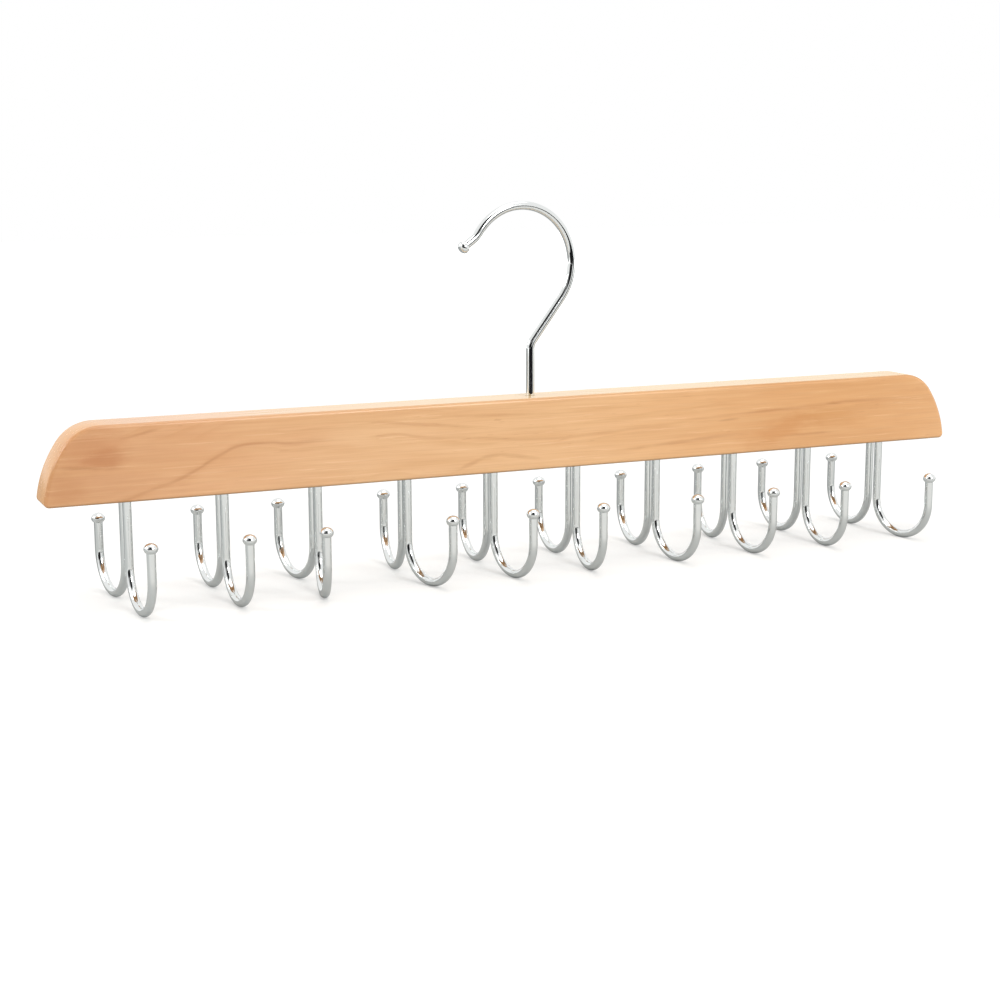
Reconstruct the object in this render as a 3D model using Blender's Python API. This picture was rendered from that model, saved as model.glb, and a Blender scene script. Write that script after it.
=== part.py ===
"""Multi-hook hanger: a wooden bar with two rows of J-hooks and a swivelling top hook.

The origin is on the floor, under the middle of the bar, with the part standing on its J-hooks.
+X runs along the bar, -Y is the front and +Z is up. All lengths are in metres.
"""

from math import acos, asin, ceil, cos, pi, radians, sin, tan

import bmesh
import bpy
from mathutils import Matrix, Vector

# Clearance between pieces that touch on the real hanger
GAP = 0.0003
# How far a cutter runs out past the face it cuts
CUT_OVERRUN = 0.002
# The cone that a drill's point leaves at the bottom of a blind hole
DRILL_POINT_ANGLE = radians(59)
DRILL_TIP_DIAMETER = 0.0004

# Wooden bar. Each end is three arcs: a small corner, a long flank that leans in, and a round shoulder.
BAR_LENGTH = 0.4465
BAR_HEIGHT = 0.033
BAR_THICKNESS = 0.019
BAR_EDGE_RADIUS = 0.0015
END_CORNER_RADIUS = 0.0022
END_FLANK_RADIUS = 0.0515
END_SHOULDER_RADIUS = 0.0185
END_FLANK_LEAN = radians(8)

# J-hooks under the bar. The drop is from the underside to the floor, and the leg height is from the
# floor to the middle of the button on the outer leg. The end margin is from each end of the bar to the
# first and last posts, and the stations between them are evenly spaced.
HOOK_WIRE_DIAMETER = 0.0038
HOOK_BEND_RADIUS = 0.01635
HOOK_DROP = 0.0462
HOOK_LEG_HEIGHT = 0.0317
HOOK_SEAT_DEPTH = 0.014
HOOK_POINT_LENGTH = 0.003
HOOK_POINT_DIAMETER = 0.0016
HOOK_END_MARGIN = 0.03495
HOOK_ROW_SPACING = 0.0072

# Button on the free end of a J-hook
HOOK_BUTTON_WIDTH = 0.006
HOOK_BUTTON_LENGTH = 0.0048

# How far each J-hook is turned about its post, in degrees, as hand assembly leaves it. A positive turn
# swings the outer leg towards +X, and the first of each row is at the -X end.
FRONT_TURNS_DEG = (3.5, 2.5, -12, 16, 9, -4, 7.5, 5, 1, 14)
BACK_TURNS_DEG = (-7.5, -3, -11, 5.5, 2, -1, 3.5, 6.5, -1, -1)

# Top hook. The crown height is from the top of the bar to the wire's centre line at the crook's highest
# point, and the crook's middle lies off the shank's axis by the offset, towards the mouth. The flare's
# length is to the middle of the button.
TOP_WIRE_DIAMETER = 0.0038
CROOK_RADIUS = 0.0261
CROOK_SWEEP = radians(185)
CROOK_OFFSET = 0.0045
CROWN_HEIGHT = 0.0858
NECK_LEAN = radians(38.6)
NECK_BEND_RADIUS = 0.006
FLARE_BEND_RADIUS = 0.01
FLARE_TURN = radians(22)
FLARE_LENGTH = 0.006
TOP_BUTTON_WIDTH = 0.0058
TOP_BUTTON_LENGTH = 0.0046

# The swivel's axis lies a little off the middle of the bar, towards -X, as hand drilling leaves it. At
# rest the top hook is turned from the bar's own line by this much, with its mouth towards the front.
SWIVEL_OFFSET = 0.0009
TOP_HOOK_TURN = radians(5)

# Washer and nut in the counterbore under the bar, which the shank passes through
COUNTERBORE_DEPTH = 0.006
WASHER_DIAMETER = 0.009
WASHER_THICKNESS = 0.0008
NUT_ACROSS_FLATS = 0.007
NUT_THICKNESS = 0.0032
NUT_CHAMFER = 0.0003
SHANK_BELOW_NUT = 0.0006

# Round sections and bends
HOOK_SIDES = 12
HOOK_BEND_STEPS = 10
TOP_SIDES = 14
CROOK_STEPS = 26
SMALL_BEND_STEPS = 4
HOLE_SIDES = 16
WASHER_SIDES = 24
NUT_BORE_SIDES = 18
BUTTON_RINGS = 5
BUTTON_POLE = radians(15)
ARC_ACCURACY = 0.00005
SMOOTH_ANGLE = radians(40)
BEVEL_SEGMENTS = 3

# Levels worked out from the sizes
UNDERSIDE = HOOK_DROP
BAR_TOP = UNDERSIDE + BAR_HEIGHT


def clear_scene():
    """Leave nothing of an earlier scene behind."""
    for obj in list(bpy.data.objects):
        bpy.data.objects.remove(obj, do_unlink=True)
    for mesh in list(bpy.data.meshes):
        bpy.data.meshes.remove(mesh)


def make_material(name, colour, roughness, metallic):
    """A plain finish that other pieces of the same stuff share."""
    material = bpy.data.materials.new(name)
    material.use_nodes = True
    shader = material.node_tree.nodes["Principled BSDF"]
    shader.inputs["Base Color"].default_value = (*colour, 1.0)
    shader.inputs["Roughness"].default_value = roughness
    shader.inputs["Metallic"].default_value = metallic
    material.diffuse_color = (*colour, 1.0)
    return material


def lacquered_wood(name):
    """Pale honey-coloured hardwood under a satin lacquer."""
    return make_material(name, colour=(0.79, 0.49, 0.27), roughness=0.42, metallic=0.0)


def chrome_plate(name):
    """Bright chrome plating on steel wire."""
    return make_material(name, colour=(0.76, 0.77, 0.78), roughness=0.12, metallic=1.0)


def zinc_plate(name):
    """Duller zinc plating on the hidden fasteners."""
    return make_material(name, colour=(0.62, 0.63, 0.64), roughness=0.35, metallic=1.0)


def add_object(name, mesh, location=(0, 0, 0), turn=0.0):
    """Put a mesh in the scene under its own name."""
    obj = bpy.data.objects.new(name, mesh)
    obj.location = location
    obj.rotation_euler = (0, 0, turn)
    bpy.context.scene.collection.objects.link(obj)
    return obj


def finish_mesh(bm, name, material=None, is_round=False):
    """Turn a bmesh into a mesh with its faces pointing out."""
    bmesh.ops.recalc_face_normals(bm, faces=bm.faces)
    mesh = bpy.data.meshes.new(name)
    bm.to_mesh(mesh)
    bm.free()
    if material:
        mesh.materials.append(material)
    if is_round:
        mesh.shade_smooth()
        mesh.set_sharp_from_angle(angle=SMOOTH_ANGLE)
    return mesh


class RoundRod:
    """A round rod that grows ring by ring, straight or bent, in an upright plane along Y.

    The heading is the angle from +Y towards +Z, and a positive bend adds to it.
    """

    def __init__(self, bm, start, heading, diameter, sides):
        self.bm = bm
        self.place = Vector(start)
        self.heading = heading
        self.radius = diameter / 2
        circle = bmesh.ops.create_circle(self.bm, cap_ends=False, radius=self.radius, segments=sides)
        stand = Matrix.Translation(self.place) @ Matrix.Rotation(heading - pi / 2, 4, "X")
        bmesh.ops.transform(self.bm, matrix=stand, verts=circle["verts"])
        self.ring = list({edge for vert in circle["verts"] for edge in vert.link_edges})

    def grow(self, length, radius):
        """Add one ring, further along the rod and with a radius of its own."""
        step = Vector((0, cos(self.heading), sin(self.heading))) * length
        self.place += step
        new = bmesh.ops.extrude_edge_only(self.bm, edges=self.ring)["geom"]
        self.ring = [item for item in new if isinstance(item, bmesh.types.BMEdge)]
        verts = [item for item in new if isinstance(item, bmesh.types.BMVert)]
        bmesh.ops.translate(self.bm, verts=verts, vec=step)
        size = Vector((1, 1, 1)) * radius / self.radius
        bmesh.ops.scale(self.bm, verts=verts, vec=size, space=Matrix.Translation(-self.place))
        self.radius = radius

    def straight(self, length):
        """Add a straight stretch of the same thickness."""
        self.grow(length, self.radius)

    def bend(self, bend_radius, turn, steps):
        """Bend the rod about an axis along X."""
        side = 1 if turn > 0 else -1
        across = Vector((0, -sin(self.heading), cos(self.heading))) * side
        centre = self.place + across * bend_radius
        verts = list({vert for edge in self.ring for vert in edge.verts})
        spun = bmesh.ops.spin(
            self.bm, geom=self.ring + verts, cent=centre, axis=(1, 0, 0), angle=turn, steps=steps)
        self.ring = [item for item in spun["geom_last"] if isinstance(item, bmesh.types.BMEdge)]
        self.place = centre + Matrix.Rotation(turn, 3, "X") @ (self.place - centre)
        self.heading += turn

    def button(self, reach, width, length):
        """Run straight to the middle of a flattened round button, and end the rod with it."""
        neck = asin(self.radius / (width / 2))
        along = -cos(neck) * length / 2
        self.straight(reach + along)
        for ring in range(1, BUTTON_RINGS + 1):
            angle = neck + (pi - BUTTON_POLE - neck) * ring / BUTTON_RINGS
            step = -cos(angle) * length / 2 - along
            self.grow(step, sin(angle) * width / 2)
            along += step

    def close(self):
        """Fill both ends."""
        rims = [edge for edge in self.bm.edges if edge.is_boundary]
        bmesh.ops.holes_fill(self.bm, edges=rims, sides=0)
        return self.bm


def arc_points(centre, radius, start, stop):
    """Points along an arc in the X-Z plane, from one angle to another, both ends included."""
    count = ceil((stop - start) / (2 * acos(1 - ARC_ACCURACY / radius)))
    angles = [start + (stop - start) * i / count for i in range(count + 1)]
    return [centre + Vector((cos(a), 0, sin(a))) * radius for a in angles]


def bar_end_outline():
    """The outline of the bar's +X end, from the underside to the top, as three arcs that meet smoothly."""
    corner = Vector((BAR_LENGTH / 2 - END_CORNER_RADIUS, 0, END_CORNER_RADIUS))
    start = END_FLANK_LEAN
    to_flank = Vector((cos(start), 0, sin(start)))
    flank = corner + to_flank * (END_CORNER_RADIUS - END_FLANK_RADIUS)
    rise = BAR_HEIGHT - END_SHOULDER_RADIUS - flank.z
    stop = asin(rise / (END_FLANK_RADIUS - END_SHOULDER_RADIUS))
    shoulder = flank + Vector((cos(stop), 0, sin(stop))) * (END_FLANK_RADIUS - END_SHOULDER_RADIUS)
    outline = arc_points(corner, END_CORNER_RADIUS, -pi / 2, start)
    outline += arc_points(flank, END_FLANK_RADIUS, start, stop)[1:]
    outline += arc_points(shoulder, END_SHOULDER_RADIUS, stop, pi / 2)[1:]
    return outline


def make_bar_mesh(material):
    """The bar before drilling: its side outline, drawn out to its thickness."""
    right = bar_end_outline()
    left = [Vector((-point.x, 0, point.z)) for point in reversed(right)]
    bm = bmesh.new()
    front = Vector((0, -BAR_THICKNESS / 2, 0))
    face = bm.faces.new([bm.verts.new(point + front) for point in right + left])
    drawn = bmesh.ops.extrude_face_region(bm, geom=[face])["geom"]
    verts = [item for item in drawn if isinstance(item, bmesh.types.BMVert)]
    bmesh.ops.translate(bm, verts=verts, vec=(0, BAR_THICKNESS, 0))
    return finish_mesh(bm, "bar", material, is_round=True)


def add_drill(bm, diameter, depth, x, y):
    """A drill's shape that enters the underside, with the cone that its point leaves."""
    drill = RoundRod(bm, start=(x, y, -CUT_OVERRUN), heading=pi / 2, diameter=diameter, sides=HOLE_SIDES)
    drill.straight(depth + CUT_OVERRUN)
    point = (diameter - DRILL_TIP_DIAMETER) / 2 / tan(DRILL_POINT_ANGLE)
    drill.grow(point, DRILL_TIP_DIAMETER / 2)
    drill.close()


def add_cutter(bm, name, bar, location):
    """Cut the bar with a shape that isn't part of the hanger."""
    cutter = add_object(name, finish_mesh(bm, name), location)
    cutter.hide_render = True
    cutter.display_type = "WIRE"
    cut = bar.modifiers.new(name, "BOOLEAN")
    cut.operation = "DIFFERENCE"
    cut.solver = "EXACT"
    cut.object = cutter


def hook_places():
    """Where each J-hook enters the underside, and how far its outer leg is turned from +Y."""
    places = []
    first = HOOK_END_MARGIN - BAR_LENGTH / 2
    for row, side, turns in (("front", -1, FRONT_TURNS_DEG), ("back", 1, BACK_TURNS_DEG)):
        for i, turn in enumerate(turns):
            x = first - 2 * first * i / (len(turns) - 1)
            facing = pi + radians(turn) if side < 0 else -radians(turn)
            places.append((f"{row}_hook_{i + 1:02d}", x, side * HOOK_ROW_SPACING / 2, facing))
    return places


def make_bar():
    """The wooden bar with its rounded edges, twenty blind holes and the swivel's stepped hole."""
    bar = add_object("bar", make_bar_mesh(lacquered_wood("lacquered_wood")), (0, 0, UNDERSIDE))
    edges = bar.modifiers.new("rounded_edges", "BEVEL")
    edges.width = BAR_EDGE_RADIUS
    edges.segments = BEVEL_SEGMENTS
    edges.limit_method = "ANGLE"
    edges.angle_limit = SMOOTH_ANGLE

    pilot = bmesh.new()
    for _, x, y, _ in hook_places():
        add_drill(pilot, HOOK_WIRE_DIAMETER + 2 * GAP, HOOK_SEAT_DEPTH + GAP, x, y)
    add_cutter(pilot, "pilot_hole_cutter", bar, (0, 0, UNDERSIDE))

    entry = (0, 0, -CUT_OVERRUN)
    seat = RoundRod(bmesh.new(), entry, pi / 2, WASHER_DIAMETER + 2 * GAP, WASHER_SIDES)
    seat.straight(COUNTERBORE_DEPTH + CUT_OVERRUN)
    add_cutter(seat.close(), "counterbore_cutter", bar, (-SWIVEL_OFFSET, 0, UNDERSIDE))

    shank = RoundRod(bmesh.new(), entry, pi / 2, TOP_WIRE_DIAMETER + 2 * GAP, HOLE_SIDES)
    shank.straight(BAR_HEIGHT + 2 * CUT_OVERRUN)
    add_cutter(shank.close(), "shank_hole_cutter", bar, (-SWIVEL_OFFSET, 0, UNDERSIDE))
    return bar


def make_hook_mesh(material):
    """One J-hook, with its post's axis on Z and the bar's underside at zero height."""
    wire = RoundRod(bmesh.new(), (0, 0, HOOK_SEAT_DEPTH), -pi / 2, HOOK_POINT_DIAMETER, HOOK_SIDES)
    wire.grow(HOOK_POINT_LENGTH, HOOK_WIRE_DIAMETER / 2)
    bottom = HOOK_DROP - HOOK_WIRE_DIAMETER / 2 - HOOK_BEND_RADIUS
    wire.straight(HOOK_SEAT_DEPTH - HOOK_POINT_LENGTH + bottom)
    wire.bend(HOOK_BEND_RADIUS, pi, HOOK_BEND_STEPS)
    wire.button(HOOK_LEG_HEIGHT - HOOK_DROP + bottom, HOOK_BUTTON_WIDTH, HOOK_BUTTON_LENGTH)
    return finish_mesh(wire.close(), "j_hook", material, is_round=True)


def make_hooks():
    """Two rows of the same J-hook, back to back."""
    mesh = make_hook_mesh(chrome_plate("chrome_hook_wire"))
    for name, x, y, facing in hook_places():
        add_object(name, mesh, (x, y, UNDERSIDE), facing)


def shank_end():
    """How far the top hook's shank ends above the underside, inside the counterbore."""
    nut_face = COUNTERBORE_DEPTH - GAP - WASHER_THICKNESS - GAP - NUT_THICKNESS
    return nut_face - SHANK_BELOW_NUT


def make_top_hook(pivot):
    """The swivelling top hook, bent in one upright plane, with its origin on the swivel axis."""
    lean = NECK_LEAN
    neck = CROOK_RADIUS * cos(lean) - CROOK_OFFSET - NECK_BEND_RADIUS * (1 - cos(lean))
    neck_length = neck / sin(lean)
    crook_rise = CROOK_RADIUS * (1 + sin(lean)) + neck_length * cos(lean) + NECK_BEND_RADIUS * sin(lean)
    shank_top = CROWN_HEIGHT - crook_rise
    shank_bottom = shank_end() - BAR_HEIGHT

    wire = RoundRod(bmesh.new(), (0, 0, shank_bottom), pi / 2, TOP_WIRE_DIAMETER, TOP_SIDES)
    wire.straight(shank_top - shank_bottom)
    wire.bend(NECK_BEND_RADIUS, -lean, SMALL_BEND_STEPS)
    wire.straight(neck_length)
    wire.bend(CROOK_RADIUS, CROOK_SWEEP, CROOK_STEPS)
    wire.bend(FLARE_BEND_RADIUS, -FLARE_TURN, SMALL_BEND_STEPS)
    wire.button(FLARE_LENGTH, TOP_BUTTON_WIDTH, TOP_BUTTON_LENGTH)
    mesh = finish_mesh(wire.close(), "top_hook", chrome_plate("chrome_top_wire"), is_round=True)
    hook = add_object("top_hook", mesh, turn=TOP_HOOK_TURN - pi / 2)
    hook.parent = pivot


def make_ring(outer, inner, thickness, outer_sides, inner_sides):
    """A flat ring from zero height up, bridged from its outer and inner edges."""
    bm = bmesh.new()
    edges = []
    for radius, sides in ((outer, outer_sides), (inner, inner_sides)):
        circle = bmesh.ops.create_circle(bm, cap_ends=False, radius=radius, segments=sides)
        edges += list({edge for vert in circle["verts"] for edge in vert.link_edges})
    flat = bmesh.ops.bridge_loops(bm, edges=edges)["faces"]
    raised = bmesh.ops.extrude_face_region(bm, geom=flat)["geom"]
    verts = [item for item in raised if isinstance(item, bmesh.types.BMVert)]
    bmesh.ops.translate(bm, verts=verts, vec=(0, 0, thickness))
    return bm


def make_washer(pivot):
    """The flat washer that bears on the counterbore's floor."""
    bm = make_ring(
        WASHER_DIAMETER / 2, TOP_WIRE_DIAMETER / 2 + GAP, WASHER_THICKNESS, WASHER_SIDES, WASHER_SIDES)
    mesh = finish_mesh(bm, "swivel_washer", zinc_plate("zinc_washer"), is_round=True)
    washer = add_object("swivel_washer", mesh)
    washer.location = (0, 0, COUNTERBORE_DEPTH - GAP - WASHER_THICKNESS - BAR_HEIGHT)
    washer.parent = pivot


def make_nut(pivot):
    """The hexagonal nut on the end of the shank, with chamfered edges."""
    corner = NUT_ACROSS_FLATS / 2 / cos(pi / 6)
    bm = make_ring(corner, TOP_WIRE_DIAMETER / 2 + GAP, NUT_THICKNESS, 6, NUT_BORE_SIDES)
    mesh = finish_mesh(bm, "swivel_nut", zinc_plate("zinc_nut"), is_round=True)
    nut = add_object("swivel_nut", mesh)
    nut.location = (0, 0, shank_end() + SHANK_BELOW_NUT - BAR_HEIGHT)
    nut.parent = pivot
    chamfer = nut.modifiers.new("chamfer", "BEVEL")
    chamfer.width = NUT_CHAMFER
    chamfer.segments = 1
    chamfer.limit_method = "ANGLE"
    chamfer.angle_limit = SMOOTH_ANGLE


def make_swivel():
    """Everything on the shank's axis hangs from one pivot at the top of the bar."""
    pivot = bpy.data.objects.new("swivel_pivot", None)
    pivot.location = (-SWIVEL_OFFSET, 0, BAR_TOP)
    bpy.context.scene.collection.objects.link(pivot)
    make_top_hook(pivot)
    make_washer(pivot)
    make_nut(pivot)


clear_scene()
make_bar()
make_hooks()
make_swivel()
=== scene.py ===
from math import asin, cos, pi, radians, sin, tan

import bmesh
import bpy
from mathutils import Matrix, Vector


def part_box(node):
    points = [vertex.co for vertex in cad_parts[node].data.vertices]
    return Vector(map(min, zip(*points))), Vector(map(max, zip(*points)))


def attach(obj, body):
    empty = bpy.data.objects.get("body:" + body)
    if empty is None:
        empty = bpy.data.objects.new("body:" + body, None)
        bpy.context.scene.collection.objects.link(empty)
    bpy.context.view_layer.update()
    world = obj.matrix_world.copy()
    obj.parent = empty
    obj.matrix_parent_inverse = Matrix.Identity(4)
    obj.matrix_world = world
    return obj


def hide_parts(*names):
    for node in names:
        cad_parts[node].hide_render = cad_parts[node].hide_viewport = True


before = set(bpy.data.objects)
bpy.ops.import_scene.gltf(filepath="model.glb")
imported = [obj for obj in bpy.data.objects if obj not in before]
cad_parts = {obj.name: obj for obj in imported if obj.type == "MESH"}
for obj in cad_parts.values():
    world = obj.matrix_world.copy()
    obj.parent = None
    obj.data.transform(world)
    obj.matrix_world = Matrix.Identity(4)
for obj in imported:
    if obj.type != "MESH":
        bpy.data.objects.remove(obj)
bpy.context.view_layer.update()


# The bar is one length of pale, fine-grained maple. It is sawn to its outline with both ends swept in,
# rounded along every edge, drilled from below for the hooks and sprayed with a clear satin lacquer.

bar_low, bar_high = (Vector(corner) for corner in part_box("bar"))
BAR_LENGTH, BAR_THICKNESS, BAR_HEIGHT = bar_high - bar_low
UNDERSIDE, BAR_TOP = bar_low.z, bar_high.z

# The outline of each end: a small lower corner, a long curved flank that leans in, and a round shoulder
END_CORNER_RADIUS = 0.0022
END_FLANK_RADIUS = 0.0515
END_SHOULDER_RADIUS = 0.0185
END_FLANK_LEAN = radians(8)
CORNER_STEPS = 12
FLANK_STEPS = 24
SHOULDER_STEPS = 20
EDGE_ROUNDING = 0.0015
EDGE_STEPS = 6
FLAT_MARGIN = 0.0003

# The wires, where they go in, and the holes that are bored for them
HOOK_WIRE = 0.0038
TOP_WIRE = 0.0038
END_MARGIN = 0.03495
ROW_SPACING = 0.0072
SWIVEL_OFFSET = 0.0009
PILOT_DEPTH = 0.0143
DRILL_POINT = radians(59)
COUNTERBORE = 0.0096
COUNTERBORE_DEPTH = 0.006
HOLE_EASE = 0.00015
HOLE_CHAMFER = 0.00035
DRILL_TIP = 0.0002
PILOT_SIDES = 40
SWIVEL_HOLE_SIDES = 64

# How far each hook is turned about its post, in degrees, as hand assembly leaves it
FRONT_TURNS = (3.5, 2.5, -12, 16, 9, -4, 7.5, 5, 1, 14)
BACK_TURNS = (-7.5, -3, -11, 5.5, 2, -1, 3.5, 6.5, -1, -1)

# Points closer than this count as the same, and edges that turn by more than this show as edges
TOUCHING = 1e-6
SHARP_EDGE = radians(35)


def linear(hex_colour):
    """An sRGB hex colour as the linear values that the renderer mixes."""
    levels = [int(hex_colour[i:i + 2], 16) / 255 for i in (1, 3, 5)]
    return [v / 12.92 if v <= 0.04045 else ((v + 0.055) / 1.055) ** 2.4 for v in levels] + [1.0]


def add_node(owner, kind, inputs=None, out=0, **settings):
    """Add a shader node with its settings, values and links, and return the output asked for."""
    tree = owner.node_tree
    node = tree.nodes.new("ShaderNode" + kind)
    for name, value in settings.items():
        setattr(node, name, value)
    for key, value in (inputs or {}).items():
        if isinstance(value, bpy.types.NodeSocket):
            tree.links.new(value, node.inputs[key])
        else:
            node.inputs[key].default_value = value
    return node.outputs[out] if node.outputs else node


def new_material(name):
    """An empty material, ready for its nodes."""
    material = bpy.data.materials.new(name)
    material.use_nodes = True
    material.node_tree.nodes.clear()
    return material


def make_piece(bm, name, material, body, node):
    """Turn finished mesh work into a piece that rides on a body in place of a CAD node."""
    bmesh.ops.recalc_face_normals(bm, faces=bm.faces)
    mesh = bpy.data.meshes.new(name)
    bm.to_mesh(mesh)
    bm.free()
    mesh.materials.append(material)
    mesh.shade_smooth()
    mesh.set_sharp_from_angle(angle=SHARP_EDGE)
    piece = bpy.data.objects.new(name, mesh)
    bpy.context.scene.collection.objects.link(piece)
    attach(piece, body)
    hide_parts(node)
    return piece


def draw_line(bm, vert, along):
    """Draw the outline on, straight."""
    end = bmesh.ops.extrude_vert_indiv(bm, verts=[vert])["verts"][0]
    bmesh.ops.translate(bm, verts=[end], vec=along)
    return end


def draw_arc(bm, vert, centre, angle, steps):
    """Draw the outline on, round a centre."""
    spun = bmesh.ops.spin(bm, geom=[vert], cent=centre, axis=(0, -1, 0), angle=angle, steps=steps)
    return next(item for item in spun["geom_last"] if isinstance(item, bmesh.types.BMVert))


def edges_of(geometry):
    """The edges among what an operator made."""
    return [item for item in geometry if isinstance(item, bmesh.types.BMEdge)]


def verts_of(geometry):
    """The vertices among what an operator made."""
    return [item for item in geometry if isinstance(item, bmesh.types.BMVert)]


def add_ring(bm, radius, sides, place):
    """A circle of edges that a hole or a wire grows from."""
    circle = bmesh.ops.create_circle(bm, cap_ends=False, radius=radius, segments=sides, matrix=place)
    return list({edge for vert in circle["verts"] for edge in vert.link_edges})


def bore(bm, x, y, stages, sides):
    """Bore up from the underside. Each stage is how far the tool goes on, and its radius there."""
    place = Matrix.Translation((x, y, UNDERSIDE))
    ring = add_ring(bm, stages[0][1], sides, place)
    radius = stages[0][1]
    for rise, wanted in stages[1:]:
        grown = bmesh.ops.extrude_edge_only(bm, edges=ring)["geom"]
        ring, verts = edges_of(grown), verts_of(grown)
        bmesh.ops.translate(bm, verts=verts, vec=(0, 0, rise))
        size = (wanted / radius, wanted / radius, 1)
        bmesh.ops.scale(bm, verts=verts, vec=size, space=Matrix.Translation((-x, -y, 0)))
        radius = wanted
    return ring


def fill_flat(bm, level):
    """Close the flat at this height round the holes in it."""
    rims = [edge for edge in bm.edges if edge.is_boundary
            and all(abs(vert.co.z - level) < TOUCHING for vert in edge.verts)]
    bmesh.ops.triangle_fill(bm, use_beauty=True, use_dissolve=False, edges=rims)


stations = [bar_low.x + END_MARGIN + (BAR_LENGTH - 2 * END_MARGIN) * i / (len(FRONT_TURNS) - 1)
            for i in range(len(FRONT_TURNS))]

bm = bmesh.new()
start = bmesh.ops.create_vert(bm, co=(0, bar_low.y, UNDERSIDE))["vert"][0]
corner = Vector((bar_high.x - END_CORNER_RADIUS, bar_low.y, UNDERSIDE + END_CORNER_RADIUS))
to_flank = Vector((cos(END_FLANK_LEAN), 0, sin(END_FLANK_LEAN)))
flank = corner + to_flank * (END_CORNER_RADIUS - END_FLANK_RADIUS)
flank_end = asin((BAR_TOP - END_SHOULDER_RADIUS - flank.z) / (END_FLANK_RADIUS - END_SHOULDER_RADIUS))
to_shoulder = Vector((cos(flank_end), 0, sin(flank_end)))
shoulder = flank + to_shoulder * (END_FLANK_RADIUS - END_SHOULDER_RADIUS)
tip = draw_line(bm, start, (corner.x, 0, 0))
tip = draw_arc(bm, tip, corner, pi / 2 + END_FLANK_LEAN, CORNER_STEPS)
tip = draw_arc(bm, tip, flank, flank_end - END_FLANK_LEAN, FLANK_STEPS)
tip = draw_arc(bm, tip, shoulder, pi / 2 - flank_end, SHOULDER_STEPS)
draw_line(bm, tip, (-shoulder.x, 0, 0))
bmesh.ops.mirror(bm, geom=bm.verts[:] + bm.edges[:], matrix=Matrix(), merge_dist=TOUCHING, axis="X")
bmesh.ops.edgeloop_fill(bm, edges=bm.edges[:])
drawn = bmesh.ops.extrude_face_region(bm, geom=bm.faces[:])["geom"]
bmesh.ops.translate(bm, verts=verts_of(drawn), vec=(0, BAR_THICKNESS, 0))
rims = [edge for edge in bm.edges if abs(edge.verts[0].co.y - edge.verts[1].co.y) < TOUCHING]
bmesh.ops.bevel(bm, geom=rims, offset=EDGE_ROUNDING, offset_type="OFFSET", segments=EDGE_STEPS, profile=0.5,
                affect="EDGES", material=-1)
bmesh.ops.recalc_face_normals(bm, faces=bm.faces)

# The four long faces are set in a little, so that they shade flat, and the two level ones are then opened
# for the holes
flats = [face for face in bm.faces if face.calc_area() > BAR_LENGTH * BAR_THICKNESS / 4]
bmesh.ops.inset_region(bm, faces=flats, thickness=FLAT_MARGIN, use_even_offset=True, use_boundary=True)
level_flats = [face for face in flats if abs(face.normal.z) > abs(face.normal.y)]
bmesh.ops.delete(bm, geom=level_flats, context="FACES")

# Two blind pilot holes at each station, and the swivel's stepped hole right through near the middle
pilot = HOOK_WIRE / 2 + HOLE_EASE
pilot_stages = [(0, pilot + HOLE_CHAMFER), (HOLE_CHAMFER, pilot), (PILOT_DEPTH, pilot),
                ((pilot - DRILL_TIP) / tan(DRILL_POINT), DRILL_TIP)]
for x in stations:
    for side in (-1, 1):
        end = bore(bm, x, side * ROW_SPACING / 2, pilot_stages, PILOT_SIDES)
        bmesh.ops.edgeloop_fill(bm, edges=end)
seat, shank = COUNTERBORE / 2, TOP_WIRE / 2 + HOLE_EASE
swivel_stages = [
    (0, seat + HOLE_CHAMFER), (HOLE_CHAMFER, seat), (COUNTERBORE_DEPTH - HOLE_CHAMFER, seat), (0, shank),
    (BAR_HEIGHT - COUNTERBORE_DEPTH - HOLE_CHAMFER, shank), (HOLE_CHAMFER, shank + HOLE_CHAMFER)]
bore(bm, -SWIVEL_OFFSET, 0, swivel_stages, SWIVEL_HOLE_SIDES)
fill_flat(bm, UNDERSIDE)
fill_flat(bm, BAR_TOP)

# Maple under satin lacquer: a pale honey ground that turns redder at one end and browner at the other,
# with fine fibres along the bar, growth lines that wander over its face and a few marks. The lacquer
# gives it a soft sheen. Light is painted in too: painted highlights make the top and ends paler, and
# painted shade darkens the rounded edges, the underside and its long lower edges.
MILLIMETRE = 0.001
wood = new_material("satin_lacquered_maple")
place = add_node(wood, "TexCoord", out="Object")

# Shares of the bar: from 0 to 1 along it and up it, and from -0.5 in front to 0.5 behind
share_place = add_node(wood, "Mapping", {
    "Vector": place, "Location": (0.5, 0, -UNDERSIDE / BAR_HEIGHT),
    "Scale": (1 / BAR_LENGTH, 1 / BAR_THICKNESS, 1 / BAR_HEIGHT)})
share_x, share_y, share_z = add_node(wood, "SeparateXYZ", {"Vector": share_place}).node.outputs

# Each kind of figure in the wood: its length along the bar and its width in millimetres, and its detail.
# Real maple's fibres and vessels are under 0.1 mm wide. They are drawn coarser here, so that they show.
FIGURE = {
    "ring_wander": (70, 16, 3), "ring_strength": (60, 12, 2),
    "line_wobble": (30, 5, 2), "line_strength": (34, 9, 2),
    "blotches": (90, 8, 3), "clouds": (22, 6, 2),
    "streaks": (45, 1.6, 3), "fibres": (26, 0.55, 2),
    "flecks": (8, 0.7, 1), "fleck_patches": (50, 12, 1), "mark_edges": (12, 3, 3)}
figure = {}
for name, (along, across, detail) in FIGURE.items():
    scale = [1 / (size * MILLIMETRE) for size in (along, across, across)]
    cells = add_node(wood, "Mapping", {"Vector": place, "Scale": scale})
    figure[name] = add_node(wood, "TexNoise", {"Vector": cells, "Scale": 1.0, "Detail": detail})
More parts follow.
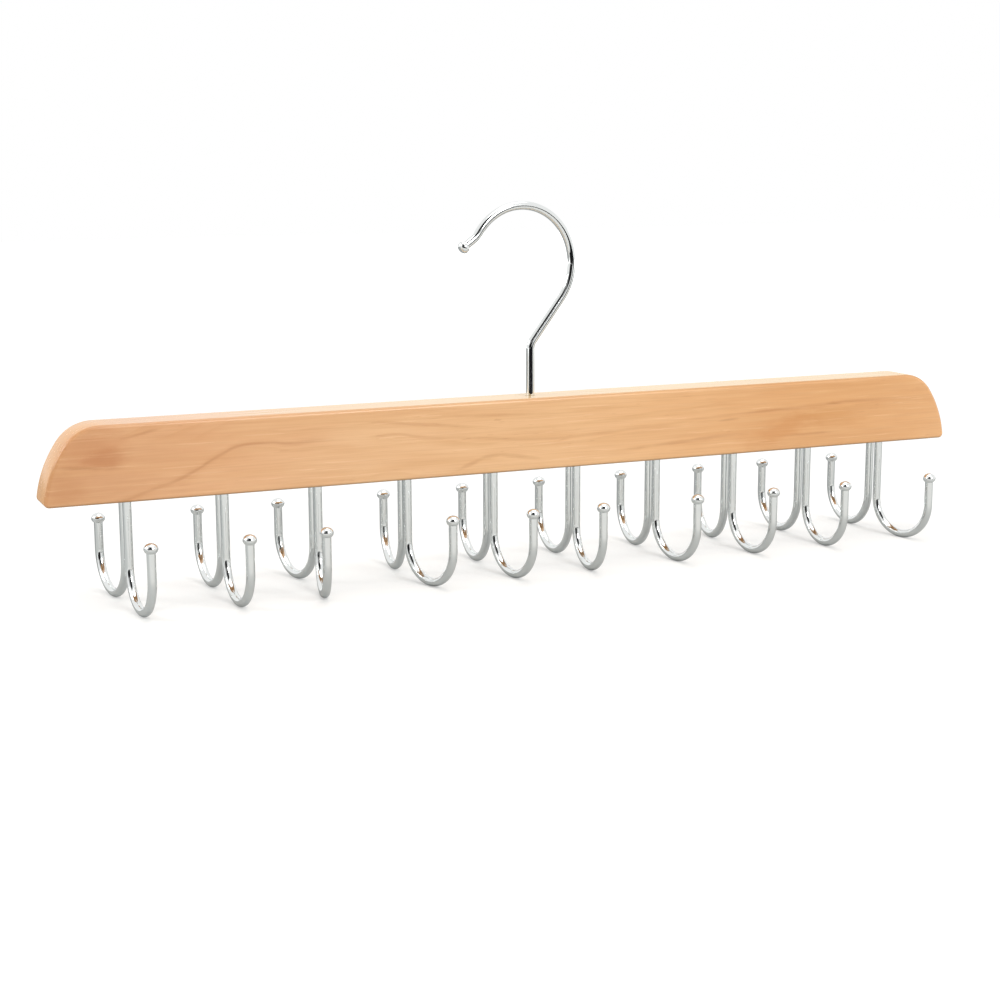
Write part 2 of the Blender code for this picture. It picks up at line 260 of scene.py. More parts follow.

# The ground's colour at shares of the bar's length, and how far its clouds shift it along the bar. Its
# darker ends are partly the maple's own tone and partly painted shade, where the light falls off away
# from the middle.
CLOUD_SHIFT = 0.12
GROUND_WITH_PAINTED_FALLOFF = ((0.0, "#D39C6D"), (0.06, "#D7A073"), (0.15, "#E1AB7D"), (0.3, "#E7B889"), (0.48, "#E8B988"),
          (0.64, "#E7B582"), (0.78, "#DFA873"), (0.9, "#DFA873"), (1.0, "#E3AE7A"))
clouded = add_node(wood, "Math", {
    0: figure["clouds"], 1: CLOUD_SHIFT, 2: -CLOUD_SHIFT / 2}, operation="MULTIPLY_ADD")
ground_place = add_node(wood, "Math", {0: share_x, 1: clouded}, operation="ADD")
ground = add_node(wood, "ValToRGB", {"Fac": ground_place})
ramp = ground.node.color_ramp
while len(ramp.elements) < len(GROUND_WITH_PAINTED_FALLOFF):
    ramp.elements.new(0.5)
for stop, (position, colour) in zip(ramp.elements, GROUND_WITH_PAINTED_FALLOFF):
    stop.position, stop.color = position, linear(colour)

# The strongest growth line, as shares of the bar's length and height. It starts below the bar, so the curve
# that draws it, which runs from 0 to 1, holds the height plus CURVE_LIFT over CURVE_SPAN.
CURVE_LIFT = 0.5
CURVE_SPAN = 2.0
GROWTH_LINE = (
    (0.0, -0.35), (0.05, -0.08), (0.088, 0.088), (0.125, 0.256), (0.142, 0.341), (0.156, 0.457),
    (0.168, 0.536), (0.193, 0.642), (0.215, 0.636), (0.233, 0.606), (0.265, 0.63), (0.316, 0.62),
    (0.34, 0.63), (0.37, 0.57), (0.422, 0.51), (0.477, 0.44), (0.533, 0.43), (0.61, 0.49),
    (0.74, 0.59), (0.88, 0.66), (1.0, 0.68))
course = add_node(wood, "FloatCurve", {"Value": share_x})
curve = course.node.mapping.curves[0]
drawn = [(along, (height + CURVE_LIFT) / CURVE_SPAN) for along, height in GROWTH_LINE]
for point in drawn[1:-1]:
    curve.points.new(*point)
curve.points[0].location = drawn[0]
curve.points[-1].location = drawn[-1]
course.node.mapping.update()
line_height = add_node(wood, "Math", {0: course, 1: CURVE_SPAN, 2: -CURVE_LIFT}, operation="MULTIPLY_ADD")
above_line = add_node(wood, "Math", {0: share_z, 1: line_height}, operation="SUBTRACT")

# Shares of the bar's height: by how much the line and the rings lie lower on the back of the board than on
# its front, and how far each strays. RING_COUNT is how many rings cross the height.
LINE_LEAN = 0.3
LINE_WOBBLE = 0.07
RING_LEAN = 0.35
RING_WANDER = 0.24
RING_COUNT = 4.6
wobble = add_node(wood, "Math", {
    0: figure["line_wobble"], 1: LINE_WOBBLE, 2: (LINE_LEAN - LINE_WOBBLE) / 2}, operation="MULTIPLY_ADD")
near_line = add_node(wood, "Math", {0: above_line, 1: wobble}, operation="ADD")
near_line = add_node(wood, "Math", {0: share_y, 1: LINE_LEAN, 2: near_line}, operation="MULTIPLY_ADD")
off_line = add_node(wood, "Math", {0: near_line}, operation="ABSOLUTE")
wander = add_node(wood, "Math", {
    0: figure["ring_wander"], 1: RING_WANDER, 2: -RING_WANDER / 2}, operation="MULTIPLY_ADD")
leaning = add_node(wood, "Math", {0: share_y, 1: RING_LEAN, 2: wander}, operation="MULTIPLY_ADD")
from_line = add_node(wood, "Math", {0: above_line, 1: leaning}, operation="ADD")
rings = add_node(wood, "Math", {0: from_line, 1: RING_COUNT}, operation="MULTIPLY")
ring_phase = add_node(wood, "Math", {0: rings}, operation="FRACT")

# How far off the middle of the board's thickness, and off the middle of its length
off_middle = add_node(wood, "Math", {0: share_y}, operation="ABSOLUTE")
from_centre = add_node(wood, "Math", {0: share_x, 1: 0.5}, operation="SUBTRACT")
off_centre = add_node(wood, "Math", {0: from_centre}, operation="ABSOLUTE")

# Each veil of colour over the ground: what it follows and from which value to which it fades in, how strong
# it is, and its colour. Where it follows more than one thing, they multiply: some set where the veil lies,
# and those of the figure how patchy it is.
VEILS = {
    "blotches": ([(figure["blotches"], 0.42, 0.68)], 0.34, "#D59D68"),
    "streaks": ([(figure["streaks"], 0.4, 0.72)], 0.22, "#F2C898"),
    "fibres": ([(figure["fibres"], 0.4, 0.75)], 0.22, "#C58C5E"),
    "late_wood": (
        [(ring_phase, 0.5, 0.97), (ring_phase, 1.0, 0.97), (figure["ring_strength"], 0.42, 0.66)],
        0.24, "#CC935F"),
    "growth_line": (
        [(off_line, 0.036, 0.0), (figure["line_strength"], 0.25, 0.6), (share_x, 0.45, 0.2)],
        0.3, "#BB7F50"),
    "growth_line_shade": ([(off_line, 0.09, 0.0), (share_x, 0.3, 0.18)], 0.26, "#C28A5A"),
    "faint_growth_line": (
        [(off_line, 0.036, 0.0), (figure["line_strength"], 0.3, 0.55)], 0.25, "#BD8152"),
    "flecks": ([(figure["flecks"], 0.69, 0.78), (figure["fleck_patches"], 0.45, 0.6)], 0.3, "#B87B50"),
    # Painted highlight: the top and the ends paler, as the light from above and the side makes them, more so
    # towards the right
    "painted_highlight_top_and_ends": (
        [(off_middle, 0.48, 0.42), (share_z, 0.0, 0.15), (share_x, 0.0, 0.9)], 0.4, "#F6DCA4"),
    "end_grain": ([(off_middle, 0.48, 0.42), (off_centre, 0.4, 0.47)], 0.45, "#E3A650"),
    # Painted highlight: the top face paler and creamier, as the light from above makes it, weaker at the left
    # end
    "painted_highlight_top_face": (
        [(off_middle, 0.48, 0.42), (share_z, 0.8, 1.0), (share_x, -0.1, 0.4)], 0.3, "#E0D6B4"),
    # Painted shade: a darker line along the rounded edges, above the lowest tenth of the height
    "painted_shade_rounded_edges": (
        [(off_middle, 0.5, 0.475), (off_middle, 0.42, 0.46), (share_z, 0.0, 0.1)], 0.55, "#B98351"),
    # Painted shade: the underside darker, as it faces away from the light
    "underside": ([(share_z, 0.02, 0.0)], 0.6, "#A0764A"),
    # Painted shade: the lower long edges at front and back darker still, turned away from the light
    "painted_shade_lower_edges": ([(share_z, 0.035, 0.0), (off_middle, 0.4, 0.46)], 0.85, "#8F6A3E")}
for reasons, strength, colour in VEILS.values():
    veil = strength
    for value, start, full in reasons:
        veil = add_node(wood, "MapRange", {
            "Value": value, "From Min": start, "From Max": full, "To Max": veil},
            interpolation_type="SMOOTHSTEP")
    ground = add_node(wood, "Mix", {0: veil, 6: ground, 7: linear(colour)}, out=2, data_type="RGBA")

# Marks in the front face, each a soft ragged ellipse that goes MARK_DEPTH into the board: the place of its
# middle along and up the bar, its half length and half width, its rise in degrees, its strength and its
# colour. Lengths are in millimetres. MARK_EDGE is where a mark starts and is full, in its own radii.
MARK_DEPTH = 12
MARK_RAGGEDNESS = 1.4
MARK_EDGE = (1.3, 0.2)
MARKS = (
    (-203, 70, 17, 9, 4, 0.55, "#CB8D60"), (-197, 65, 9, 5, 0, 0.5, "#BC7A4C"),
    (-205, 61.8, 15, 1.0, -4, 0.5, "#B5794B"), (-214, 52.5, 9, 7, 0, 0.5, "#C68A5C"),
    (-182, 74.9, 9, 0.9, 12, 0.5, "#BC8050"), (-168, 63, 30, 9, 20, 0.2, "#D29A6B"),
    (-57, 70.6, 26, 0.8, -6, 0.3, "#BF8557"), (-22, 72.8, 32, 0.8, -2, 0.22, "#BF8557"),
    (76, 54.4, 29, 1.1, 3, 0.36, "#BB7F4E"), (128, 57, 22, 6.5, 16, 0.45, "#CC8A50"),
    (156, 61, 22, 6, -3, 0.42, "#CC8F55"), (157, 67.5, 6, 0.6, -2, 0.4, "#AC7346"),
    (98, 63.1, 6, 0.6, 3, 0.3, "#AC7346"), (119, 66, 15, 0.7, 2, 0.35, "#BC8152"),
    (170, 67.9, 18, 0.6, -1, 0.24, "#BC8152"), (141, 53.4, 17, 0.8, 1, 0.35, "#BC8152"),
    (-35, 51.2, 9, 1.1, 21, 0.32, "#BC8152"), (-24, 54.4, 7, 1.1, 4, 0.34, "#BC8152"),
    (-11, 53.2, 13, 1.1, -9, 0.3, "#BC8152"))
ragged = add_node(wood, "Math", {
    0: figure["mark_edges"], 1: MARK_RAGGEDNESS, 2: -MARK_RAGGEDNESS / 2}, operation="MULTIPLY_ADD")
for x, z, half_length, half_width, rise, strength, colour in MARKS:
    middle = (x * MILLIMETRE, bar_low.y, z * MILLIMETRE)
    size = Vector((half_length, MARK_DEPTH, half_width)) * MILLIMETRE
    inside = add_node(wood, "Mapping", {
        "Vector": place, "Location": middle, "Rotation": (0, -radians(rise), 0), "Scale": size},
        vector_type="TEXTURE")
    reach = add_node(wood, "VectorMath", {0: inside}, out="Value", operation="LENGTH")
    edge = add_node(wood, "Math", {0: reach, 1: ragged}, operation="ADD")
    mark = add_node(wood, "MapRange", {
        "Value": edge, "From Min": MARK_EDGE[0], "From Max": MARK_EDGE[1], "To Max": strength},
        interpolation_type="SMOOTHSTEP")
    ground = add_node(wood, "Mix", {0: mark, 6: ground, 7: linear(colour)}, out=2, data_type="RGBA")

# The lacquer's sheen varies a little with the streaks. The fibres stand out through it along the faces, and
# not on the ends, where it fills them: RELIEF_ENDS is where that starts and ends, as shares of the length.
LACQUER_ROUGHNESS = (0.2, 0.3)
RELIEF_HEIGHT = 0.00006
RELIEF_STRENGTH = 0.25
RELIEF_ENDS = (0.47, 0.4)
sheen = add_node(wood, "MapRange", {
    "Value": figure["streaks"], "From Min": 0.2, "From Max": 0.8,
    "To Min": LACQUER_ROUGHNESS[0], "To Max": LACQUER_ROUGHNESS[1]})
raised = add_node(wood, "MapRange", {
    "Value": off_centre, "From Min": RELIEF_ENDS[0], "From Max": RELIEF_ENDS[1], "To Max": RELIEF_STRENGTH},
    interpolation_type="SMOOTHSTEP")
relief = add_node(wood, "Bump", {"Height": figure["fibres"], "Strength": raised, "Distance": RELIEF_HEIGHT})
lacquered = add_node(wood, "BsdfPrincipled", {
    "Base Color": ground, "Roughness": sheen, "IOR": 1.5, "Normal": relief})
add_node(wood, "OutputMaterial", {"Surface": lacquered})

make_piece(bm, "wooden_bar", wood, "hanger_bar", "bar")


# The J-hooks are twenty lengths of steel wire, each bent round a former into a J, with its free end upset
# into a round button, then chrome plated and driven into a blind hole in the bar.

HOOK_BEND = 0.01635
HOOK_LEG_HEIGHT = 0.0317
HOOK_SEAT = 0.014
HOOK_POINT = 0.003
HOOK_POINT_WIDTH = 0.0016
WIRE_SIDES = 36
POST_STEPS = 6
BEND_STEPS = 48

# A button's width, and its length along the wire. Its last ring lies at an angle of BUTTON_POLE from its end.
HOOK_BUTTON = (0.006, 0.0048)
BUTTON_RINGS = 14
BUTTON_POLE = radians(5)


class Wire:
    """A round wire that grows from its start, straight or bent, in an upright plane along Y.

    The heading is the angle from +Y towards +Z, and a positive bend adds to it. Each point also keeps its
    place on the wire before bending, so that marks made by drawing and plating follow the bends.
    """

    def __init__(self, start, heading, diameter):
        self.bm = bmesh.new()
        self.unbent = self.bm.verts.layers.float_vector.new("unbent_place")
        self.place, self.heading, self.radius = Vector(start), heading, diameter / 2
        stand = Matrix.Translation(self.place) @ Matrix.Rotation(heading - pi / 2, 4, "X")
        self.ring = add_ring(self.bm, self.radius, WIRE_SIDES, stand)
        for vert in self.verts():
            vert[self.unbent] = stand.inverted() @ vert.co

    def verts(self):
        """The vertices of the newest ring."""
        return list({vert for edge in self.ring for vert in edge.verts})

    def grow(self, length, radius=None):
        """Add one ring, further along and with a radius of its own."""
        wanted = self.radius if radius is None else radius
        step = Vector((0, cos(self.heading), sin(self.heading))) * length
        self.place += step
        self.ring = edges_of(bmesh.ops.extrude_edge_only(self.bm, edges=self.ring)["geom"])
        verts = self.verts()
        bmesh.ops.translate(self.bm, verts=verts, vec=step)
        size = Vector((1, 1, 1)) * wanted / self.radius
        bmesh.ops.scale(self.bm, verts=verts, vec=size, space=Matrix.Translation(-self.place))
        for vert in verts:
            place = vert[self.unbent]
            vert[self.unbent] = (place.x * size.x, place.y * size.x, place.z + length)
        self.radius = wanted

    def straight(self, length, steps):
        """Run straight on, in even steps."""
        for _ in range(steps):
            self.grow(length / steps)

    def bend(self, bend_radius, turn, steps):
        """Bend about an axis along X."""
        side = 1 if turn > 0 else -1
        centre = self.place + Vector((0, -sin(self.heading), cos(self.heading))) * side * bend_radius
        swing = Matrix.Rotation(turn / steps, 3, "X")
        for _ in range(steps):
            self.ring = edges_of(bmesh.ops.extrude_edge_only(self.bm, edges=self.ring)["geom"])
            verts = self.verts()
            bmesh.ops.rotate(self.bm, verts=verts, cent=centre, matrix=swing)
            for vert in verts:
                vert[self.unbent] += Vector((0, 0, abs(turn) / steps * bend_radius))
        self.place = centre + Matrix.Rotation(turn, 3, "X") @ (self.place - centre)
        self.heading += turn

    def button(self, reach, width, length):
        """Run straight to the middle of a flattened round button, and end with it."""
        neck = asin(self.radius / (width / 2))
        along = -cos(neck) * length / 2
        self.grow(reach + along)
        for i in range(1, BUTTON_RINGS + 1):
            angle = neck + (pi - BUTTON_POLE - neck) * i / BUTTON_RINGS
            step = -cos(angle) * length / 2 - along
            self.grow(step, sin(angle) * width / 2)
            along += step

    def finish(self, place, turn):
        """Close both ends and stand the wire in its place."""
        rims = [edge for edge in self.bm.edges if edge.is_boundary]
        bmesh.ops.holes_fill(self.bm, edges=rims, sides=0)
        stand = Matrix.Translation(place) @ Matrix.Rotation(turn, 4, "Z")
        bmesh.ops.transform(self.bm, matrix=stand, verts=self.bm.verts)
        return self.bm


# Bright chrome over drawn steel wire: almost a mirror, with a faint waviness where the plating follows the
# drawn surface, and patches that are a little duller from polishing. Each has its size across the wire and
# along it in millimetres, and its detail.
PLATING = {"ripple": (1.2, 9, 2), "patches": (3, 7, 3)}
CHROME_ROUGHNESS = (0.05, 0.12)
RIPPLE_STRENGTH = 0.3
RIPPLE_HEIGHT = 0.00004
NOISE_SPREAD = (0.3, 0.7)
chrome = new_material("bright_chrome_plate")
on_wire = add_node(chrome, "Attribute", out="Vector", attribute_name="unbent_place")
plating = {}
for name, (across, along, detail) in PLATING.items():
    scale = [1 / (size * MILLIMETRE) for size in (across, across, along)]
    cells = add_node(chrome, "Mapping", {"Vector": on_wire, "Scale": scale})
    plating[name] = add_node(chrome, "TexNoise", {"Vector": cells, "Scale": 1.0, "Detail": detail})
dullness = add_node(chrome, "MapRange", {
    "Value": plating["patches"], "From Min": NOISE_SPREAD[0], "From Max": NOISE_SPREAD[1],
    "To Min": CHROME_ROUGHNESS[0], "To Max": CHROME_ROUGHNESS[1]})
tone = add_node(chrome, "Mix", {
    0: plating["patches"], 6: linear("#E2E5E4"), 7: linear("#ECEEED")}, out=2, data_type="RGBA")
waviness = add_node(chrome, "Bump", {
    "Height": plating["ripple"], "Strength": RIPPLE_STRENGTH, "Distance": RIPPLE_HEIGHT})
plated = add_node(chrome, "BsdfPrincipled", {
    "Base Color": tone, "Metallic": 1.0, "Roughness": dullness, "Normal": waviness})
add_node(chrome, "OutputMaterial", {"Surface": plated})

# Each wire is drawn from its point down. The front row bends towards -Y, and the back row towards +Y.
drop = UNDERSIDE - HOOK_WIRE / 2 - HOOK_BEND
for row, side, turns in (("front", -1, FRONT_TURNS), ("back", 1, BACK_TURNS)):
    for number, (x, turn) in enumerate(zip(stations, turns), 1):
        wire = Wire((0, 0, HOOK_SEAT), -pi / 2, HOOK_POINT_WIDTH)
        wire.grow(HOOK_POINT, HOOK_WIRE / 2)
        wire.straight(HOOK_SEAT - HOOK_POINT + drop, POST_STEPS)
        wire.bend(HOOK_BEND, pi, BEND_STEPS)
        wire.button(HOOK_LEG_HEIGHT - UNDERSIDE + drop, *HOOK_BUTTON)
        facing = pi + radians(turn) if side < 0 else -radians(turn)
        bm = wire.finish((x, side * ROW_SPACING / 2, UNDERSIDE), facing)
        name, node = f"{row}_j_hook_{number:02d}", f"{row}_hook_{number:02d}"
        make_piece(bm, name, chrome, "hanger_bar", node)


# The top hook is a longer piece of the same wire. Its shank turns in the bar's stepped hole, and above it
# the wire leans out into a neck, comes round in a crook for the rail and flares to a button of its own.

NECK_LEAN = radians(38.6)
NECK_BEND = 0.006
CROOK_RADIUS = 0.0261
CROOK_SWEEP = radians(185)
CROOK_OFFSET = 0.0045
CROWN_HEIGHT = 0.0858
FLARE_BEND = 0.01
FLARE_TURN = radians(22)
FLARE_LENGTH = 0.006
TOP_BUTTON = (0.0058, 0.0046)
TOP_HOOK_TURN = radians(5)
THREAD_PITCH = 0.0007
THREAD_DEPTH = 0.0003
THREAD_TURNS = 9
SHANK_END_HEIGHT = 0.0008
SHANK_STEPS = 10
NECK_BEND_STEPS = 12
NECK_STEPS = 6
CROOK_STEPS = 96
FLARE_STEPS = 8

neck_reach = CROOK_RADIUS * cos(NECK_LEAN) - CROOK_OFFSET - NECK_BEND * (1 - cos(NECK_LEAN))
neck_length = neck_reach / sin(NECK_LEAN)
crook_rise = CROOK_RADIUS * (1 + sin(NECK_LEAN)) + neck_length * cos(NECK_LEAN) + NECK_BEND * sin(NECK_LEAN)
shank_top = CROWN_HEIGHT - crook_rise
shank_length = shank_top + BAR_HEIGHT - SHANK_END_HEIGHT

# The thread is cut as plain rings, which at this pitch look the same as a helix
wire = Wire((0, 0, SHANK_END_HEIGHT - BAR_HEIGHT), pi / 2, TOP_WIRE - 2 * THREAD_DEPTH)
for _ in range(THREAD_TURNS):
    wire.grow(THREAD_PITCH / 2, TOP_WIRE / 2)
    wire.grow(THREAD_PITCH / 2, TOP_WIRE / 2 - THREAD_DEPTH)
wire.grow(THREAD_PITCH / 2, TOP_WIRE / 2)
plain_shank = shank_length - (THREAD_TURNS + 0.5) * THREAD_PITCH
wire.straight(plain_shank, SHANK_STEPS)
wire.bend(NECK_BEND, -NECK_LEAN, NECK_BEND_STEPS)
wire.straight(neck_length, NECK_STEPS)
wire.bend(CROOK_RADIUS, CROOK_SWEEP, CROOK_STEPS)
wire.bend(FLARE_BEND, -FLARE_TURN, FLARE_STEPS)
wire.button(FLARE_LENGTH, *TOP_BUTTON)
bm = wire.finish((-SWIVEL_OFFSET, 0, BAR_TOP), TOP_HOOK_TURN - pi / 2)
make_piece(bm, "crook_and_shank", chrome, "swivel_hook", "top_hook")


# The swivel's washer and nut are pressed steel, dull zinc plated. The washer carries the pull on the
# counterbore's floor, and the nut keeps the shank from pulling out and turns with it.

WASHER_DIAMETER = 0.009
NUT_ACROSS_FLATS = 0.007
NUT_CHAMFER = 0.0004
NUT_SIDES = 6
FASTENER_ROUNDING = 0.00012
FASTENER_EASE = 0.0002
BORE_SIDES = 48
WASHER_SIDES = 72

fastener_bore = TOP_WIRE / 2 + FASTENER_EASE


def make_collar(outer, outer_sides, low, high):
    """A collar round the swivel's axis, bridged between its outer edge and its bore and then drawn up."""
    bm = bmesh.new()
    place = Matrix.Translation((-SWIVEL_OFFSET, 0, low))
    rings = add_ring(bm, outer, outer_sides, place) + add_ring(bm, fastener_bore, BORE_SIDES, place)
    flat = bmesh.ops.bridge_loops(bm, edges=rings)["faces"]
    raised = bmesh.ops.extrude_face_region(bm, geom=flat)["geom"]
    bmesh.ops.translate(bm, verts=verts_of(raised), vec=(0, 0, high - low))
    bmesh.ops.recalc_face_normals(bm, faces=bm.faces)
    return bm


def round_rims(bm, width, segments):
    """Round or chamfer the sharp level edges outside the bore."""
    axis = Vector((-SWIVEL_OFFSET, 0))
    rims = [edge for edge in bm.edges if abs(edge.verts[0].co.z - edge.verts[1].co.z) < TOUCHING
            and edge.calc_face_angle(0) > SHARP_EDGE
            and all((vert.co.xy - axis).length > fastener_bore + TOUCHING for vert in edge.verts)]
    bmesh.ops.bevel(bm, geom=rims, offset=width, offset_type="OFFSET", segments=segments, profile=0.5,
                    affect="EDGES", material=-1)


# Zinc plate: a soft grey metal skin with a fine cloudy mottle and no mirror in it. MOTTLE is the size of its
# clouds in millimetres.
MOTTLE = 1.1
MOTTLE_STRENGTH = 0.3
MOTTLE_HEIGHT = 0.00002
ZINC_ROUGHNESS = (0.3, 0.46)
zinc = new_material("dull_zinc_plate")
zinc_place = add_node(zinc, "TexCoord", out="Object")
mottle = add_node(zinc, "TexNoise", {
    "Vector": zinc_place, "Scale": 1 / (MOTTLE * MILLIMETRE), "Detail": 4.0})
zinc_tone = add_node(zinc, "Mix", {
    0: mottle, 6: linear("#A6A9A8"), 7: linear("#C9CAC5")}, out=2, data_type="RGBA")
zinc_dullness = add_node(zinc, "MapRange", {
    "Value": mottle, "From Min": NOISE_SPREAD[0], "From Max": NOISE_SPREAD[1],
    "To Min": ZINC_ROUGHNESS[0], "To Max": ZINC_ROUGHNESS[1]})
zinc_relief = add_node(zinc, "Bump", {
    "Height": mottle, "Strength": MOTTLE_STRENGTH, "Distance": MOTTLE_HEIGHT})
zinc_skin = add_node(zinc, "BsdfPrincipled", {
    "Base Color": zinc_tone, "Metallic": 1.0, "Roughness": zinc_dullness, "Normal": zinc_relief})
add_node(zinc, "OutputMaterial", {"Surface": zinc_skin})

washer_low, washer_high = (corner[2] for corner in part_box("swivel_washer"))
nut_low, nut_high = (corner[2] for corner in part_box("swivel_nut"))
bm = make_collar(WASHER_DIAMETER / 2, WASHER_SIDES, washer_low, washer_high)
round_rims(bm, FASTENER_ROUNDING, segments=3)
make_piece(bm, "flat_washer", zinc, "swivel_hook", "swivel_washer")
bm = make_collar(NUT_ACROSS_FLATS / 2 / cos(pi / NUT_SIDES), NUT_SIDES, nut_low, nut_high)
round_rims(bm, NUT_CHAMFER, segments=1)
make_piece(bm, "hex_nut", zinc, "swivel_hook", "swivel_nut")


# The studio: a white sheet under the hanger, a white surround, and wide soft lamps overhead, at the left
# and by the camera. The room beyond the sheet's front edge is dark, which only the chrome shows.

FLOOR_SIZE = 6.0
CARD_LIFT = 0.001


def make_card(name, corners, material):
    """A flat card of the studio, from its corners."""
    bm = bmesh.new()
    bm.faces.new([bm.verts.new(point) for point in corners])
    mesh = bpy.data.meshes.new(name)
    bm.to_mesh(mesh)
    bm.free()
    mesh.materials.append(material)
    card = bpy.data.objects.new(name, mesh)
    bpy.context.scene.collection.objects.link(card)
    return card


# White paper. Far from the hanger it glows as seen by the camera and in the chrome, so it stays white
# there, and near the hanger the camera sees NEAR_GLOW of that glow. Close to the rows of hooks the chrome
# sees
# the paper greyer: a painted shade of the bar and hooks, which the camera doesn't see. Each reach is where
# that starts and where it is full, in metres off the middle.
NEAR_GLOW = 0.3
GLOW_REACH = (0.5, 1.5)
SHADE_REACH = (0.12, 0.04)
sheet = new_material("white_paper_sheet")
ray = add_node(sheet, "LightPath").node.outputs
seen = add_node(sheet, "Math", {0: ray["Is Camera Ray"], 1: ray["Is Glossy Ray"]}, operation="MAXIMUM")
seen = add_node(sheet, "Math", {0: seen, 1: ray["Is Transmission Ray"]}, operation="MAXIMUM")
sheet_place = add_node(sheet, "TexCoord", out="Object")
away = add_node(sheet, "VectorMath", {0: sheet_place}, out="Value", operation="LENGTH")
near_glow = add_node(sheet, "Math", {0: ray["Is Camera Ray"], 1: NEAR_GLOW}, operation="MULTIPLY")
glow_strength = add_node(sheet, "MapRange", {
    "Value": away, "From Min": GLOW_REACH[0], "From Max": GLOW_REACH[1],
    "To Min": near_glow, "To Max": 1.0}, interpolation_type="SMOOTHSTEP")
glow_strength = add_node(sheet, "Math", {0: seen, 1: glow_strength}, operation="MULTIPLY")
depth = add_node(sheet, "SeparateXYZ", {"Vector": sheet_place}, out="Y")
off_rows = add_node(sheet, "Math", {0: depth}, operation="ABSOLUTE")
shade = add_node(sheet, "MapRange", {
    "Value": off_rows, "From Min": SHADE_REACH[0], "From Max": SHADE_REACH[1],
    "To Max": ray["Is Glossy Ray"]}, interpolation_type="SMOOTHSTEP")
paper_with_painted_shade = add_node(sheet, "Mix", {
    0: shade, 6: linear("#D9D9D7"), 7: linear("#BDBFBE")}, out=2, data_type="RGBA")
paper = add_node(sheet, "BsdfDiffuse", {"Color": paper_with_painted_shade})
glow = add_node(sheet, "Emission", {"Color": linear("#FFFFFF"), "Strength": glow_strength})
both = add_node(sheet, "AddShader", {0: paper, 1: glow})
add_node(sheet, "OutputMaterial", {"Surface": both})
half = FLOOR_SIZE / 2
make_card("floor", [(-half, -half, 0), (half, -half, 0), (half, half, 0), (-half, half, 0)], sheet)

# Two cards that only the chrome shows: the unlit room past the sheet's front edge, as seen from the hanger
# between two bearings, and a grey one behind the hanger that draws the wires' edges
SHEET_FRONT = 0.45
ROOM_END = 3.0
ROOM_BEARINGS = range(-152, -37, 19)
GREY_BACK = ((-1.5, 0.06), (1.5, 0.06), (1.5, 1.2), (-1.5, 1.2))
bearings = [(cos(radians(a)), sin(radians(a))) for a in ROOM_BEARINGS]
front = [(x * SHEET_FRONT, y * SHEET_FRONT, CARD_LIFT) for x, y in bearings]
front += [(x * ROOM_END, y * ROOM_END, CARD_LIFT) for x, y in reversed(bearings)]
back = [(x, y, CARD_LIFT) for x, y in GREY_BACK]
for name, corners, colour in (("dark_front", front, "#1C1C1E"), ("grey_back", back, "#AEB0B0")):
    surface = new_material(name)
    face = add_node(surface, "Emission", {"Color": linear(colour), "Strength": 1.0})
    add_node(surface, "OutputMaterial", {"Surface": face})
    card = make_card(name, corners, surface)
    card.visible_camera = card.visible_diffuse = card.visible_transmission = False
    card.visible_shadow = card.visible_volume_scatter = False

world = bpy.data.worlds.new("white_surround")
bpy.context.scene.world = world
world.use_nodes = True
world.node_tree.nodes.clear()
toward = add_node(world, "TexCoord", out="Generated")
ray = add_node(world, "LightPath").node.outputs

# The unlit room behind the camera as the chrome sees it: the direction of each dark part, how far it
# reaches sideways and upwards on a sphere of radius 1, and how dark it is. It is full over DARK_CORE of
# that reach.
DARK_CORE = 0.65
DARK_ROOM = (((-0.42, -0.85, 0.31), 0.75, 0.75, 0.65), ((-0.45, -0.88, 0.1), 0.78, 0.34, 1.0),
             ((-0.25, -0.7, 0.67), 0.5, 0.4, 1.0))
darkness = 0.0
for middle, sideways, upwards, strength in DARK_ROOM:
    inside = add_node(world, "Mapping", {
        "Vector": toward, "Location": middle, "Scale": (sideways, sideways, upwards)},
        vector_type="TEXTURE")
    reach = add_node(world, "VectorMath", {0: inside}, out="Value", operation="LENGTH")
    lobe = add_node(world, "MapRange", {
        "Value": reach, "From Min": 1.0, "From Max": DARK_CORE, "To Max": strength},
        interpolation_type="SMOOTHSTEP")
    darkness = add_node(world, "Math", {0: darkness, 1: lobe}, operation="MAXIMUM")
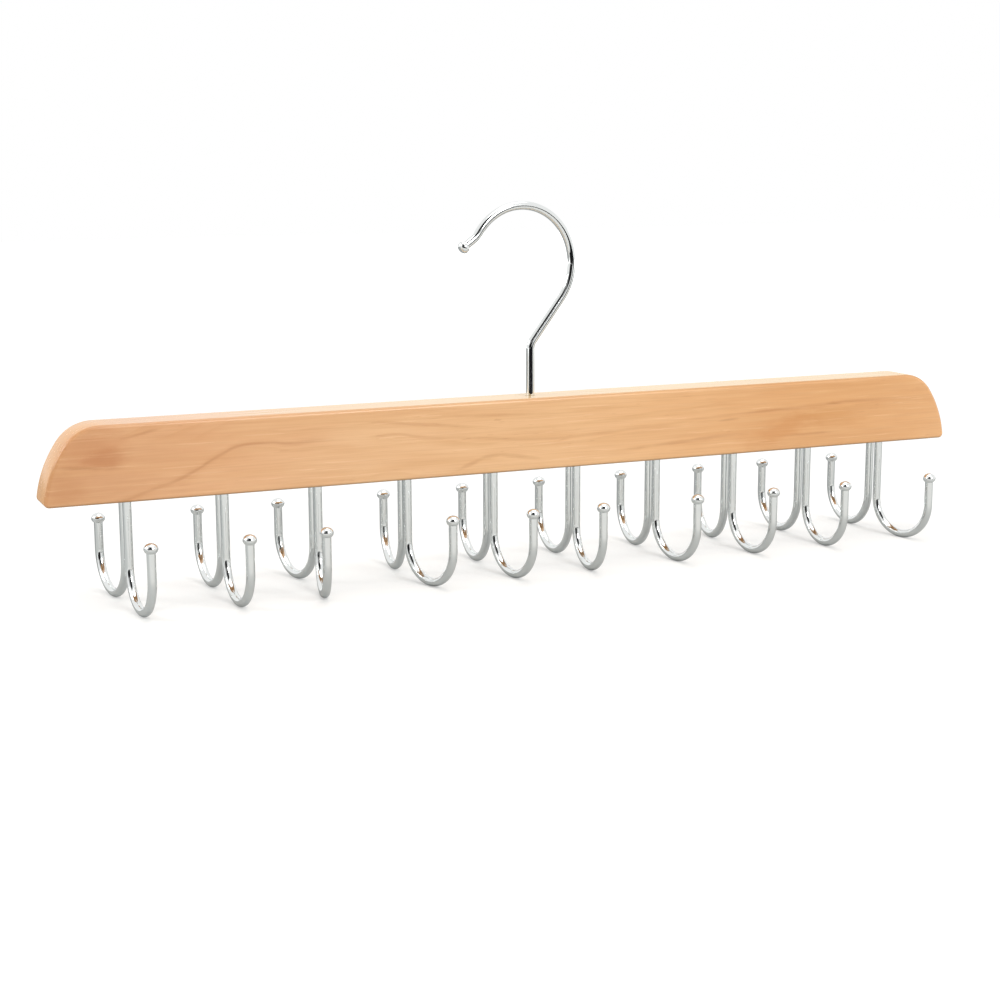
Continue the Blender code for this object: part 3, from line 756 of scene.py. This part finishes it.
seen_in_chrome = add_node(world, "Mix", {
    0: darkness, 6: linear("#FFFFFF"), 7: linear("#1C1C1E")}, out=2, data_type="RGBA")
lit = add_node(world, "Mix", {
    0: ray["Is Glossy Ray"], 6: linear("#DCDCDC"), 7: seen_in_chrome}, out=2, data_type="RGBA")
shown = add_node(world, "Mix", {
    0: ray["Is Camera Ray"], 6: lit, 7: linear("#FFFFFF")}, out=2, data_type="RGBA")
surround = add_node(world, "Background", {"Color": shown, "Strength": 1.0})
add_node(world, "OutputWorld", {"Surface": surround})

# Each lamp: its place, what it points at, its width and length in metres, and its power in watts
LAMPS = (
    ("overhead_lamp", (0.15, -0.1, 1.5), (0, 0, 0.05), (1.4, 0.9), 7.4),
    ("left_lamp", (-1.3, 0.2, 0.75), (-0.1, 0, 0.06), (0.6, 0.5), 6.0),
    ("camera_lamp", (0.4, -1.2, 0.7), (0, 0, 0.06), (0.5, 0.4), 6.4))
for name, stand, target, size, power in LAMPS:
    light = bpy.data.lights.new(name, "AREA")
    light.shape = "RECTANGLE"
    light.size, light.size_y = size
    light.energy = power
    lamp = bpy.data.objects.new(name, light)
    lamp.location = stand
    lamp.rotation_euler = (Vector(target) - Vector(stand)).to_track_quat("-Z", "Y").to_euler()
    bpy.context.scene.collection.objects.link(lamp)

# The camera stands in front of the hanger's left half, a little above it
LENS, SENSOR_WIDTH = 67.092, 36
CAMERA_PLACE = (-0.35341, -0.76696, 0.19304)
CAMERA_YAW, CAMERA_PITCH, CAMERA_ROLL = radians(23.74), radians(10.89), radians(0.18)
view = bpy.data.cameras.new("camera")
view.lens, view.sensor_width = LENS, SENSOR_WIDTH
camera = bpy.data.objects.new("camera", view)
turned = (Matrix.Rotation(-CAMERA_YAW, 4, "Z") @ Matrix.Rotation(pi / 2 - CAMERA_PITCH, 4, "X")
          @ Matrix.Rotation(-CAMERA_ROLL, 4, "Z"))
camera.matrix_world = Matrix.Translation(CAMERA_PLACE) @ turned
bpy.context.scene.collection.objects.link(camera)
bpy.context.scene.camera = camera
bpy.context.scene.view_settings.view_transform = "Standard"
